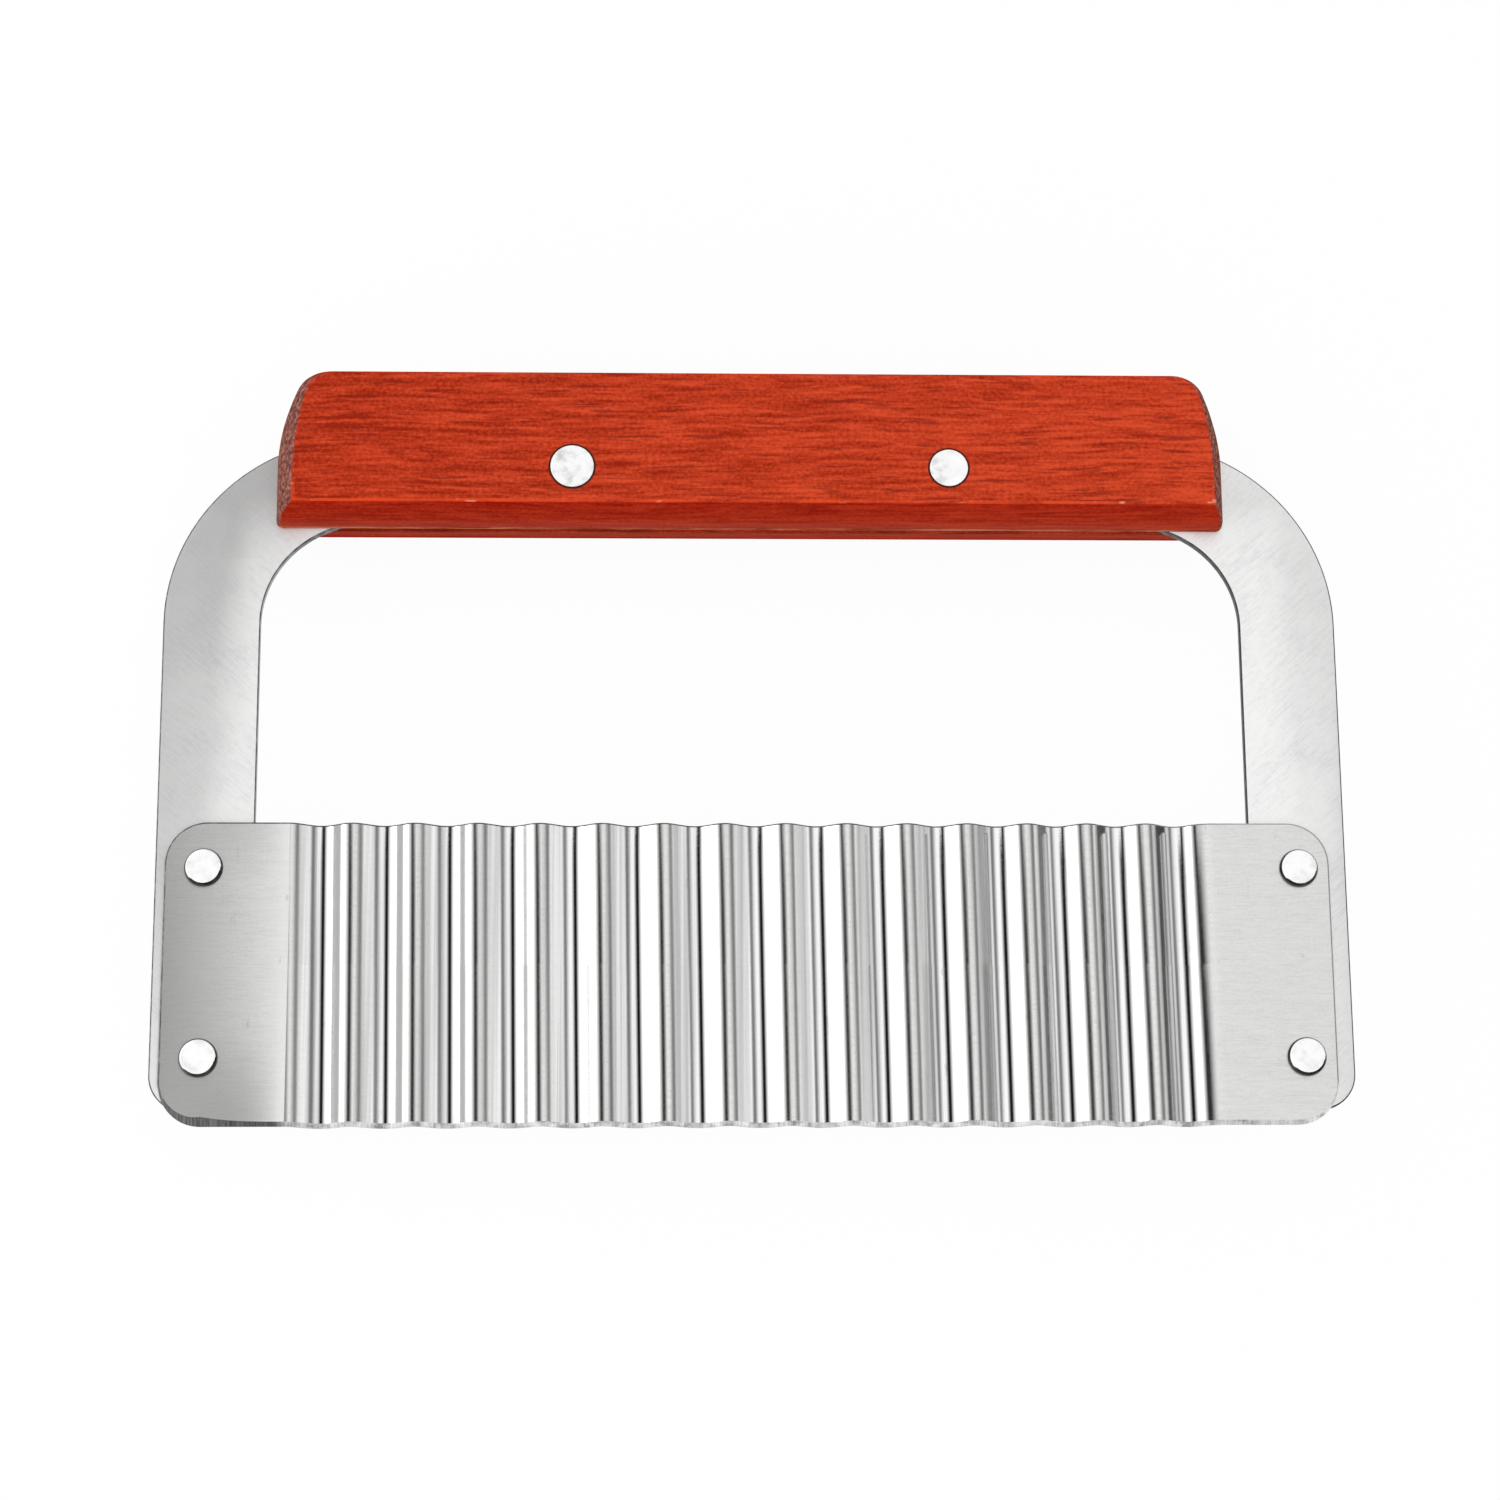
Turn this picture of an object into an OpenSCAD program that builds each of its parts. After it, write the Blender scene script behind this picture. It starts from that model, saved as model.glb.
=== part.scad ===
// Crinkle cutter: a corrugated blade riveted to the legs of a flat steel arch,
// whose top bar sits in the slot of a wooden handle.
// It lies on its back: X runs along the blade, Y from the cutting edge to the handle,
// Z from the handle's back face to its front. Y = 0 is half way up, Z = 0 the back face.

/* [Frame] */
// Width over both legs
frame_w = 185; // [170:0.5:230]
// Height from the ends of the legs to the top of the bar
frame_h = 107.8; // [90:0.2:140]
// Thickness of the sheet
frame_t = 1.5; // [1:0.1:2.5]
// Width of a leg
leg_w = 15.2; // [12:0.1:20]
// Height of the top bar
bar_h = 14.3; // [11:0.1:20]
// Radius of the outer top corners
frame_outer_r = 30.5; // [18:0.5:40]
// Radius of the opening's top corners
frame_inner_r = 16.5; // [6:0.5:22]
// Radius of the outer corner at the end of each leg
leg_end_r = 5.5; // [2:0.5:8]

/* [Blade] */
// Height from the cutting edge to the top edge
blade_h = 47.2; // [40:0.2:60]
// Thickness of the sheet
blade_t = 0.8; // [0.5:0.1:1.2]
// Distance from the frame's outer edge to the blade's end
blade_inset = 2.2; // [0:0.1:5]
// Sideways offset of the blade on the frame
blade_shift = -0.6; // [-1:0.1:1]
// Distance of the cutting edge below the ends of the legs
blade_drop = 2.4; // [0:0.1:6]
// Radius of the four corners
blade_corner_r = 6.5; // [2:0.5:8]
// Length of one wave
wave_pitch = 9.5; // [7:0.01:14]
// Depth of a wave from crest to valley
wave_depth = 2.4; // [1:0.1:3.5]
// Least flat length between a leg and the first valley's slope
wave_margin = 5.2; // [3:0.1:12]
// Height of the ground bevel along the cutting edge
bevel_h = 0.8; // [0.4:0.1:2]
// Thickness left at the cutting edge
edge_t = 0.15; // [0.1:0.05:0.3]

/* [Handle] */
// Length of the handle
handle_l = 150.5; // [120:0.5:165]
// Height of the handle
handle_h = 25; // [22:0.2:34]
// Thickness of the handle
handle_t = 19.5; // [14:0.5:26]
// How far the rounded rim falls back at the front and back faces
rim_drop = 1.9; // [0.5:0.1:3]
// Radius of the shoulder at each end of the top edge
shoulder_r = 26.5; // [20:0.5:36]
// Height of the shoulder's centre above the handle's underside
shoulder_y = 10; // [6:0.2:14]
// Radius that softens the outline's corners
handle_corner_r = 1.2; // [0.6:0.1:1.8]
// How far the bar's underside sits inside the slot
bar_recess = 0.9; // [0:0.1:2]

/* [Rivets] */
// Shank diameter of a blade rivet
blade_rivet_d = 3; // [2:0.1:4]
// Head diameter of a blade rivet
blade_head_d = 6; // [5:0.1:8]
// Head height of a blade rivet
blade_head_h = 1.1; // [0.6:0.1:2]
// Bevel round the rim of a blade rivet's head
blade_head_bevel = 0.35; // [0.1:0.05:0.5]
// Diameter of the formed end behind a leg
formed_d = 5.4; // [4.5:0.1:7]
// Height of the formed end behind a leg
formed_h = 0.9; // [0.5:0.1:1.5]
// Distance of the top rivets below the blade's top edge
rivet_top_inset = 7.2; // [5:0.1:12]
// Distance of the bottom rivets above the cutting edge
rivet_bottom_inset = 10.4; // [8:0.1:16]
// Shank diameter of a handle rivet
handle_rivet_d = 5; // [3:0.1:6]
// Spread diameter of the left handle rivet's ends
left_end_d = 7; // [6.2:0.1:9]
// Spread diameter of the right handle rivet's ends
right_end_d = 6.2; // [6.1:0.1:9]
// Depth of a handle rivet's spread end in the wood
spread_h = 1.2; // [0.5:0.1:2.5]
// How far a handle rivet stands out of the front face
rivet_proud = 0.15; // [0:0.05:0.5]
// How far a handle rivet stays below the back face
rivet_sunk = 0.1; // [0.05:0.05:0.4]
// Distance between the two handle rivets
handle_rivet_spacing = 59.2; // [40:0.2:90]
// Sideways offset of the pair of handle rivets
handle_rivet_shift = 1.2; // [-3:0.1:3]
// Height of the handle rivets above the handle's underside
handle_rivet_up = 7.6; // [5:0.1:10]

/* [Fit] */
// Clearance round a rivet in its hole, on the radius
rivet_clear = 0.05; // [0.02:0.01:0.1]
// Clearance on each side of the bar in the handle's slot
slot_clear = 0.05; // [0.02:0.01:0.15]
// Gap above the bar at the bottom of the slot
slot_end_clear = 0.2; // [0.1:0.1:1]

/* [Hidden] */
$fn = 96;

// Extra length of a cutting shape past the surface that it cuts
past = 1;
// Steps along one wave, and slices through the handle's rounded rim
wave_steps = 16;
rim_slices = 10;
rim_slice_t = 0.01;

// Heights, from the cutting edge up to the handle's top
bar_bottom_h = blade_drop + frame_h - bar_h;
handle_bottom_h = bar_bottom_h - bar_recess;
overall_h = handle_bottom_h + handle_h;
edge_y = -overall_h / 2;
blade_top_y = edge_y + blade_h;
leg_end_y = edge_y + blade_drop;
frame_top_y = leg_end_y + frame_h;
bar_bottom_y = edge_y + bar_bottom_h;
handle_bottom_y = edge_y + handle_bottom_h;
handle_rivet_y = handle_bottom_y + handle_rivet_up;

// Depths, from the handle's back face to its front
frame_back_z = (handle_t - frame_t) / 2;
frame_front_z = frame_back_z + frame_t;
blade_front_z = frame_front_z + blade_t;

// Places across the frame and the blade
leg_x = (frame_w - leg_w) / 2;
opening_w = frame_w - 2 * leg_w;
blade_w = frame_w - 2 * blade_inset;
wave_count = floor((opening_w - 2 * wave_margin) / wave_pitch);
wave_l = wave_count * wave_pitch;
wave_start_x = blade_shift - wave_l / 2;

// Radius of the handle's rim across its thickness
rim_r = (pow(handle_t / 2, 2) + pow(rim_drop, 2)) / (2 * rim_drop);

// Turn of the wave at x, in degrees: whole turns, and so flat, along the two end tabs
function wave_turn(x) = 360 * min(max(x - wave_start_x, 0), wave_l) / wave_pitch;

// Middle surface of the sheet: its height and its slope at x
function wave_z(x) = frame_front_z + blade_t / 2 - wave_depth / 2 * (1 - cos(wave_turn(x)));
function wave_slope(x) = -wave_depth * PI / wave_pitch * sin(wave_turn(x));

// Point of the sheet at x, moved off the middle surface along its normal
function sheet_point(x, off, y) =
    let (s = wave_slope(x), n = sqrt(1 + s * s))
    [x - off * s / n, y, wave_z(x) + off / n];

// Cross-section of the sheet at x: back, ground bevel, front
function sheet_ring(x) = [
    sheet_point(x, -blade_t / 2, edge_y),
    sheet_point(x, -blade_t / 2 + edge_t, edge_y),
    sheet_point(x, blade_t / 2, edge_y + bevel_h),
    sheet_point(x, blade_t / 2, blade_top_y),
    sheet_point(x, -blade_t / 2, blade_top_y)
];

// How far the handle's outline is drawn in at a height off its middle plane
function rim_inset(z) = rim_r - sqrt(pow(rim_r, 2) - pow(z, 2));

// Square of side r with the quarter circle of one corner left out
module corner_waste(r) {
    difference() {
        square(r + past);
        circle(r);
    }
}

// Flat outline of the arch, with the opening below the bar cut out
module frame_outline() {
    opening_h = bar_bottom_y - leg_end_y;
    difference() {
        translate([-frame_w / 2, leg_end_y]) square([frame_w, frame_h]);
        difference() {
            translate([-opening_w / 2, leg_end_y - past]) square([opening_w, opening_h + past]);
            for (side = [0, 1]) {
                mirror([side, 0])
                    translate([opening_w / 2 - frame_inner_r, bar_bottom_y - frame_inner_r])
                    corner_waste(frame_inner_r);
            }
        }
        for (side = [0, 1]) {
            mirror([side, 0]) {
                translate([frame_w / 2 - frame_outer_r, frame_top_y - frame_outer_r])
                    corner_waste(frame_outer_r);
                translate([frame_w / 2 - leg_end_r, leg_end_y + leg_end_r])
                    rotate(-90)
                    corner_waste(leg_end_r);
            }
        }
    }
}

// Sideways place of a blade rivet, -1 for the left leg and 1 for the right
function blade_rivet_x(side) = side * leg_x;

// Height of a blade rivet, 1 for the top row and -1 for the bottom row
function blade_rivet_y(row) =
    row > 0 ? blade_top_y - rivet_top_inset : edge_y + rivet_bottom_inset;

// Sideways place of a handle rivet, -1 for the left one and 1 for the right
function handle_rivet_x(side) = handle_rivet_shift + side * handle_rivet_spacing / 2;

// Holes for the four blade rivets, through the blade and the legs
module blade_rivet_holes() {
    for (side = [-1, 1], row = [-1, 1]) {
        translate([blade_rivet_x(side), blade_rivet_y(row), frame_back_z - past])
            cylinder(r = blade_rivet_d / 2 + rivet_clear, h = frame_t + blade_t + 2 * past);
    }
}

// Flat sheet arch: two legs and the bar that the handle grips
module frame() {
    color("lightgray")
    difference() {
        translate([0, 0, frame_back_z]) linear_extrude(frame_t) frame_outline();
        blade_rivet_holes();
        for (side = [-1, 1]) {
            translate([handle_rivet_x(side), handle_rivet_y, frame_back_z - past])
                cylinder(r = handle_rivet_d / 2 + rivet_clear, h = frame_t + 2 * past);
        }
    }
}

// Whole sheet of the blade with square ends: rings joined along its length
module corrugated_sheet() {
    wave_x = [for (i = [0:wave_count * wave_steps]) wave_start_x + wave_pitch * i / wave_steps];
    ring_x = concat([blade_shift - blade_w / 2], wave_x, [blade_shift + blade_w / 2]);
    last = len(ring_x) - 1;
    sides = [
        for (i = [0:last - 1], k = [0:4])
        let (a = 5 * i + k, b = 5 * i + (k + 1) % 5)
        each [[a, b + 5, a + 5], [a, b, b + 5]]
    ];
    ends = [[4, 3, 2, 1, 0], [for (k = [0:4]) 5 * last + k]];
    polyhedron(points = [for (x = ring_x) each sheet_ring(x)], faces = concat(sides, ends));
}

// Corrugated blade with a flat tab at each end, rounded corners and four holes
module crinkle_blade() {
    color("gainsboro")
    difference() {
        corrugated_sheet();
        translate([blade_shift, (edge_y + blade_top_y) / 2, frame_front_z - past])
            linear_extrude(blade_t + 2 * past)
            for (side = [0, 1], row = [0, 1]) {
                mirror([side, 0])
                    mirror([0, row])
                    translate([blade_w / 2 - blade_corner_r, blade_h / 2 - blade_corner_r])
                    corner_waste(blade_corner_r);
            }
        blade_rivet_holes();
    }
}

// Front outline of the handle at its middle plane
module handle_outline() {
    offset(r = handle_corner_r)
    offset(delta = -handle_corner_r)
    intersection() {
        translate([-handle_l / 2, handle_bottom_y]) square([handle_l, handle_h]);
        union() {
            translate([-handle_l / 2, handle_bottom_y]) square([handle_l, shoulder_y]);
            translate([shoulder_r - handle_l / 2, handle_bottom_y])
                square([handle_l - 2 * shoulder_r, handle_h]);
            for (side = [-1, 1]) {
                translate([side * (handle_l / 2 - shoulder_r), handle_bottom_y + shoulder_y])
                    circle(shoulder_r);
            }
        }
    }
}

// Wooden grip: a block with a rounded rim all round and flat faces front and back
module handle_block() {
    half_t = handle_t / 2 - rim_slice_t / 2;
    translate([0, 0, handle_t / 2])
    hull() {
        for (i = [0:rim_slices]) {
            z = half_t * (2 * i / rim_slices - 1);
            translate([0, 0, z - rim_slice_t / 2])
                linear_extrude(rim_slice_t)
                offset(delta = -rim_inset(z))
                handle_outline($fn = 48);
        }
    }
}

// Wooden handle, slotted from below for the bar and bored for two rivets
module handle() {
    slot_h = bar_recess + bar_h + slot_end_clear;
    color([0.78, 0.24, 0.12])
    difference() {
        handle_block();
        translate([-handle_l / 2 - past, handle_bottom_y - past, frame_back_z - slot_clear])
            cube([handle_l + 2 * past, slot_h + past, frame_t + 2 * slot_clear]);
        handle_rivet_bore(-1, left_end_d);
        handle_rivet_bore(1, right_end_d);
    }
}

// Hole for a handle rivet, flared at both faces for its spread ends
module handle_rivet_bore(side, end_d) {
    shank_r = handle_rivet_d / 2 + rivet_clear;
    end_r = end_d / 2 + rivet_clear;
    translate([handle_rivet_x(side), handle_rivet_y, 0]) {
        translate([0, 0, -past]) cylinder(r = shank_r, h = handle_t + 2 * past);
        cylinder(r1 = end_r, r2 = shank_r, h = spread_h);
        translate([0, 0, handle_t - spread_h]) cylinder(r1 = shank_r, r2 = end_r, h = spread_h);
    }
}

// Flush rivet through the handle and the bar, spread at both ends
module handle_rivet(side, end_d) {
    shank_r = handle_rivet_d / 2;
    end_r = end_d / 2;
    color("whitesmoke")
    translate([handle_rivet_x(side), handle_rivet_y, 0])
    rotate_extrude()
    polygon([
        [0, rivet_sunk], [end_r - rivet_sunk, rivet_sunk], [shank_r, spread_h],
        [shank_r, handle_t - spread_h], [end_r, handle_t],
        [end_r, handle_t + rivet_proud], [0, handle_t + rivet_proud]
    ]);
}

// Rivet through a blade tab and a leg: bevelled head in front, formed end behind
module blade_rivet(side, row) {
    head_r = blade_head_d / 2;
    head_top_z = blade_front_z + blade_head_h;
    color("whitesmoke")
    translate([blade_rivet_x(side), blade_rivet_y(row), 0])
    rotate_extrude()
    polygon([
        [0, frame_back_z - formed_h], [formed_d / 2, frame_back_z - formed_h],
        [formed_d / 2, frame_back_z], [blade_rivet_d / 2, frame_back_z],
        [blade_rivet_d / 2, blade_front_z], [head_r, blade_front_z],
        [head_r, head_top_z - blade_head_bevel], [head_r - blade_head_bevel, head_top_z],
        [0, head_top_z]
    ]);
}

frame();
crinkle_blade();
handle();
handle_rivet(-1, left_end_d);  // handle_rivet_left
handle_rivet(1, right_end_d);  // handle_rivet_right
blade_rivet(-1, 1);  // blade_rivet_top_left
blade_rivet(1, 1);  // blade_rivet_top_right
blade_rivet(-1, -1);  // blade_rivet_bottom_left
blade_rivet(1, -1);  // blade_rivet_bottom_right
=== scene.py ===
import math

import bmesh
import bpy
from mathutils import Matrix, Vector, noise


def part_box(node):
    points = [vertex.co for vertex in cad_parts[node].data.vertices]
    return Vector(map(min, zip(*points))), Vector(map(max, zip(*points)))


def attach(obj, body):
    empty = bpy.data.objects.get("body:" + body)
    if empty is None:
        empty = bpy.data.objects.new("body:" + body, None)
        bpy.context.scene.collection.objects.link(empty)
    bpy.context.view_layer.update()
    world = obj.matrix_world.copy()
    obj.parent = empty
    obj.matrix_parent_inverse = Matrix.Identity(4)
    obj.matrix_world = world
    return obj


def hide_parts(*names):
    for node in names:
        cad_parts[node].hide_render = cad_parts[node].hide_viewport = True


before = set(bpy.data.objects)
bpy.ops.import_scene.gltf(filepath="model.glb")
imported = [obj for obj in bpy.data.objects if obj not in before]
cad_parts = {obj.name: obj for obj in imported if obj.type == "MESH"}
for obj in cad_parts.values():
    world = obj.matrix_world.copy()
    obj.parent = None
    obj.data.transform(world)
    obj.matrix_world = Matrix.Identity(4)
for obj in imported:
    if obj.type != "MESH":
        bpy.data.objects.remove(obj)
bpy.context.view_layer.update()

MM = 0.001

# Boxes of the solids, which the dressed pieces fill
arch_low, arch_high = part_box("frame")
blade_low, blade_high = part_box("crinkle_blade")
handle_low, handle_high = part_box("handle")

# Arch of flat steel
leg_w = 15.2 * MM
bar_h = 14.3 * MM
arch_outer_r = 30.5 * MM
arch_inner_r = 16.5 * MM
leg_end_r = 5.5 * MM
arch_edge_r = 0.22 * MM
arch_outer_steps = 40
arch_inner_steps = 28
leg_end_steps = 14
arch_edge_steps = 3

# Slight warp of the arch's left leg, which only the finish shows
warp_near = 20.0 * MM
warp_far = 40.0 * MM
warp_top_y = 30.0 * MM

# Crinkle blade
blade_t = 0.8 * MM
wave_pitch = 9.5 * MM
wave_count = 15
wave_depth = 2.4 * MM
flank_slope = 0.72
wave_creep = 1.0 * MM
wave_mid = -0.42 * MM
wave_reach = wave_count * wave_pitch / 2
first_wave_x = wave_mid - wave_reach
wave_skew = 0.012
skew_room = 0.01 * MM
wave_steps = 56
tab_step = 1.0 * MM
tab_steps = 11
corner_steps = 14
blade_corner_r = 6.5 * MM
wave_run_out = 1.3 * MM
burr_w = 0.22 * MM
burr_drop = 0.12 * MM
ground_h = 0.7 * MM
ground_wedge_h = 1.0 * MM
ground_wedge_l = 14.0 * MM
ground_t = 0.15 * MM

# Right end of the sheared edges, which takes a painted tone of its own: painted shade on the arch, painted
# light on the blade
painted_end_from = 55.0 * MM
painted_end_full = 75.0 * MM

# Brushed part of the blade: crests by depth below the front, tabs by distance past the waves
crest_from = 1.1 * MM
crest_full = 0.2 * MM
tab_from = -0.6 * MM
tab_full = 1.2 * MM

# Dish, painted shade and painted highlight of the blade's left tab, which only the finish shows
dish_top_y = -35.0 * MM
hollow_scale = 6.75
low_shade_from = 14.0 * MM
low_shade_full = 3.0 * MM
high_shade_from = 10.0 * MM
high_shade_full = 1.0 * MM
painted_bend_highlight_blur = 1.0 * MM

# Part of the ground edge with a painted dark reflection, by distance from the first wave
painted_wedge_dark_from = 0.5 * MM
painted_wedge_dark_full = -1.5 * MM

# Wooden handle
shoulder_r = 26.5 * MM
shoulder_y = 10.0 * MM
handle_corner_r = 1.2 * MM
top_corner_r = 4.5 * MM
rim_drop = 1.9 * MM
rim_steps = 14
handle_corner_steps = 6
shoulder_steps = 22
top_corner_steps = 8
end_slope = 1.47
face_shift = 0.33 * MM
face_shoulder_r = 54.0 * MM
face_shoulder_y = 5.9 * MM
face_corner_r = 5.2 * MM
lip_h = 0.8 * MM
crease_r = 0.3 * MM
crease_steps = 5
soft_band = 1.02 * crease_r
tight_corner_r = 0.3 * MM
slot_clear = 0.05 * MM

# Wood finish
grain_sway = 3.0 * MM
ring_from = 0.30 * MM
ring_full = 0.10 * MM
chip_from = 6.0 * MM
chip_full = 4.0 * MM

# Rivets
blade_rivet_nodes = ("blade_rivet_top_left", "blade_rivet_top_right",
                     "blade_rivet_bottom_left", "blade_rivet_bottom_right")
handle_rivet_nodes = ("handle_rivet_left", "handle_rivet_right")
spin_steps = 56
round_steps = 6
dent_depth = 0.03 * MM
dent_reach = 0.3 * MM
dent_scale = 700
# Direction of the side of a blade rivet's head that takes more painted shade
head_shade = Vector((0.3, -0.95, 0))
head_rim_w = 0.52 * MM
head_rim_h = 0.72 * MM
head_rim_steps = 6
head_rim_curve = 2.2
blade_shank_r = 1.5 * MM
blade_end_r = 2.7 * MM
blade_end_h = 0.4 * MM
blade_end_soft = 0.38 * MM
handle_shank_r = 2.5 * MM
handle_end_h = 1.2 * MM
handle_cone_h = 0.4 * MM
handle_end_drop = 0.23 * MM
handle_end_soft = 0.22 * MM
handle_back_soft = 0.15 * MM
handle_end_crown = 0.005 * MM
handle_seed = 7

# Radii of the inner rings of points on a rivet's faces, as shares of the face's radius
head_rings = (0.25, 0.5)
head_end_ring = 0.4
handle_end_rings = (0.3, 0.65)
handle_back_ring = 0.5

# Sizes of a face normal's part along Z that divide the shading and the finishes
arch_flat_lean = 0.999
arch_edge_lean = 0.98
blade_side_lean = 0.3
handle_flat_lean = 0.9999
head_lean = 0.6
shaded_head_lean = 0.9
handle_end_lean = 0.92

# Parts of a face normal along other directions: down at the slot's lip, and to the side of a head that takes
# more painted shade
lip_lean = 0.9
shade_lean = 0.25

# Distances below which points count as one, or as on a cut
weld_gap = 1e-6
same_place = 1e-7
cut_gap = 1e-8

# Stage
table_half = 4.0
table_gap = 0.02 * MM
camera_place = Vector((-20.75, -133.47, 548.4)) * MM
camera_aim = Vector((-0.49, -0.94, 10.5)) * MM
camera_roll = -0.413


def draw_from(bm, place):
    return bmesh.ops.create_vert(bm, co=place)["vert"][0]


def draw_to(bm, tip, place):
    new_tip = bmesh.ops.extrude_vert_indiv(bm, verts=[tip])["verts"][0]
    new_tip.co = place
    return new_tip


def draw_round(bm, tip, centre, axis, degrees, steps):
    turned = bmesh.ops.spin(bm, geom=[tip], cent=centre, axis=axis,
                            angle=math.radians(degrees), steps=steps)
    return turned["geom_last"][0]


def cut_at(bm, geom, place, normal):
    bmesh.ops.bisect_plane(bm, geom=geom, dist=cut_gap, plane_co=place, plane_no=normal)


def everything(bm):
    return bm.verts[:] + bm.edges[:] + bm.faces[:]


def thicken(bm, height):
    made = bmesh.ops.extrude_face_region(bm, geom=bm.faces[:], use_keep_orig=True)
    raised = [g for g in made["geom"] if isinstance(g, bmesh.types.BMVert)]
    bmesh.ops.translate(bm, verts=raised, vec=(0, 0, height))
    bmesh.ops.recalc_face_normals(bm, faces=bm.faces[:])


def mesh_object(name, bm, finishes):
    mesh = bpy.data.meshes.new(name)
    bm.to_mesh(mesh)
    bm.free()
    for finish in finishes:
        mesh.materials.append(finish)
    made = bpy.data.objects.new(name, mesh)
    bpy.context.scene.collection.objects.link(made)
    return made


def finish_piece(name, bm, finishes, node, sharp_degrees=32):
    piece = mesh_object(name, bm, finishes)
    piece.data.set_sharp_from_angle(angle=math.radians(sharp_degrees))
    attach(piece, "root")
    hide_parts(node)
    return piece


# Node helpers for the finishes
def new_finish(name):
    finish = bpy.data.materials.new(name)
    finish.use_nodes = True
    tree = finish.node_tree
    return finish, tree, tree.nodes["Principled BSDF"]


def add_node(tree, kind, **settings):
    made = tree.nodes.new(kind)
    for key, value in settings.items():
        setattr(made, key, value)
    return made


def plug(tree, value, socket):
    if isinstance(value, bpy.types.NodeSocket):
        tree.links.new(value, socket)
    else:
        socket.default_value = value


def piece_place(tree):
    return add_node(tree, "ShaderNodeTexCoord").outputs["Object"]


def split(tree, vector):
    parts = add_node(tree, "ShaderNodeSeparateXYZ")
    plug(tree, vector, parts.inputs[0])
    return parts.outputs


def join(tree, x, y, z):
    made = add_node(tree, "ShaderNodeCombineXYZ")
    for value, socket in zip((x, y, z), made.inputs):
        plug(tree, value, socket)
    return made.outputs[0]


def surface_lean(tree):
    return split(tree, add_node(tree, "ShaderNodeNewGeometry").outputs["Normal"])


def vector_sums(tree, operation, a, b):
    made = add_node(tree, "ShaderNodeVectorMath", operation=operation)
    plug(tree, a, made.inputs[0])
    plug(tree, b, made.inputs[1])
    return made.outputs


def stretch(tree, place, scale, turn=(0, 0, 0), shift=(0, 0, 0)):
    mapping = add_node(tree, "ShaderNodeMapping")
    plug(tree, place, mapping.inputs["Vector"])
    mapping.inputs["Scale"].default_value = scale
    mapping.inputs["Rotation"].default_value = [math.radians(a) for a in turn]
    mapping.inputs["Location"].default_value = shift
    return mapping.outputs["Vector"]


def cloud(tree, place, detail=3.0, roughness=0.55):
    made = add_node(tree, "ShaderNodeTexNoise")
    plug(tree, place, made.inputs["Vector"])
    made.inputs["Scale"].default_value = 1.0
    made.inputs["Detail"].default_value = detail
    made.inputs["Roughness"].default_value = roughness
    return made.outputs["Fac"]


def spread(tree, value, low, high, to_low=0.0, to_high=1.0):
    made = add_node(tree, "ShaderNodeMapRange", clamp=True)
    plug(tree, value, made.inputs["Value"])
    made.inputs["From Min"].default_value = low
    made.inputs["From Max"].default_value = high
    made.inputs["To Min"].default_value = to_low
    made.inputs["To Max"].default_value = to_high
    return made.outputs["Result"]


def sums(tree, operation, a, b):
    made = add_node(tree, "ShaderNodeMath", operation=operation)
    plug(tree, a, made.inputs[0])
    plug(tree, b, made.inputs[1])
    return made.outputs[0]


def plus(tree, a, b):
    return sums(tree, "ADD", a, b)


def times(tree, a, b):
    return sums(tree, "MULTIPLY", a, b)


def unsigned(tree, value):
    return sums(tree, "ABSOLUTE", value, 0.0)


def blend(tree, *shares):
    """Sum of (value, weight) pairs."""
    total = times(tree, *shares[0])
    for value, weight in shares[1:]:
        total = plus(tree, total, times(tree, value, weight))
    return total


def grey(tone):
    return (tone, tone, tone)


def mix_colour(tree, amount, under, over):
    made = add_node(tree, "ShaderNodeMix", data_type="RGBA")
    plug(tree, amount, made.inputs["Factor"])
    plug(tree, under, made.inputs["A"])
    plug(tree, (*over, 1) if isinstance(over, tuple) else over, made.inputs["B"])
    return made.outputs["Result"]


def ramp(tree, value, *stops):
    made = add_node(tree, "ShaderNodeValToRGB")
    plug(tree, value, made.inputs["Fac"])
    band = made.color_ramp
    band.elements[0].position, band.elements[0].color = stops[0][0], (*stops[0][1], 1)
    band.elements[1].position, band.elements[1].color = stops[-1][0], (*stops[-1][1], 1)
    for place, colour in stops[1:-1]:
        band.elements.new(place).color = (*colour, 1)
    return made.outputs["Color"]


def relief(tree, height, distance, strength=1.0, over=None):
    made = add_node(tree, "ShaderNodeBump")
    plug(tree, height, made.inputs["Height"])
    made.inputs["Distance"].default_value = distance
    made.inputs["Strength"].default_value = strength
    if over is not None:
        plug(tree, over, made.inputs["Normal"])
    return made.outputs["Normal"]


def dress(tree, face, colour, rough, normal):
    plug(tree, colour, face.inputs["Base Color"])
    plug(tree, rough, face.inputs["Roughness"])
    plug(tree, normal, face.inputs["Normal"])


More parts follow.
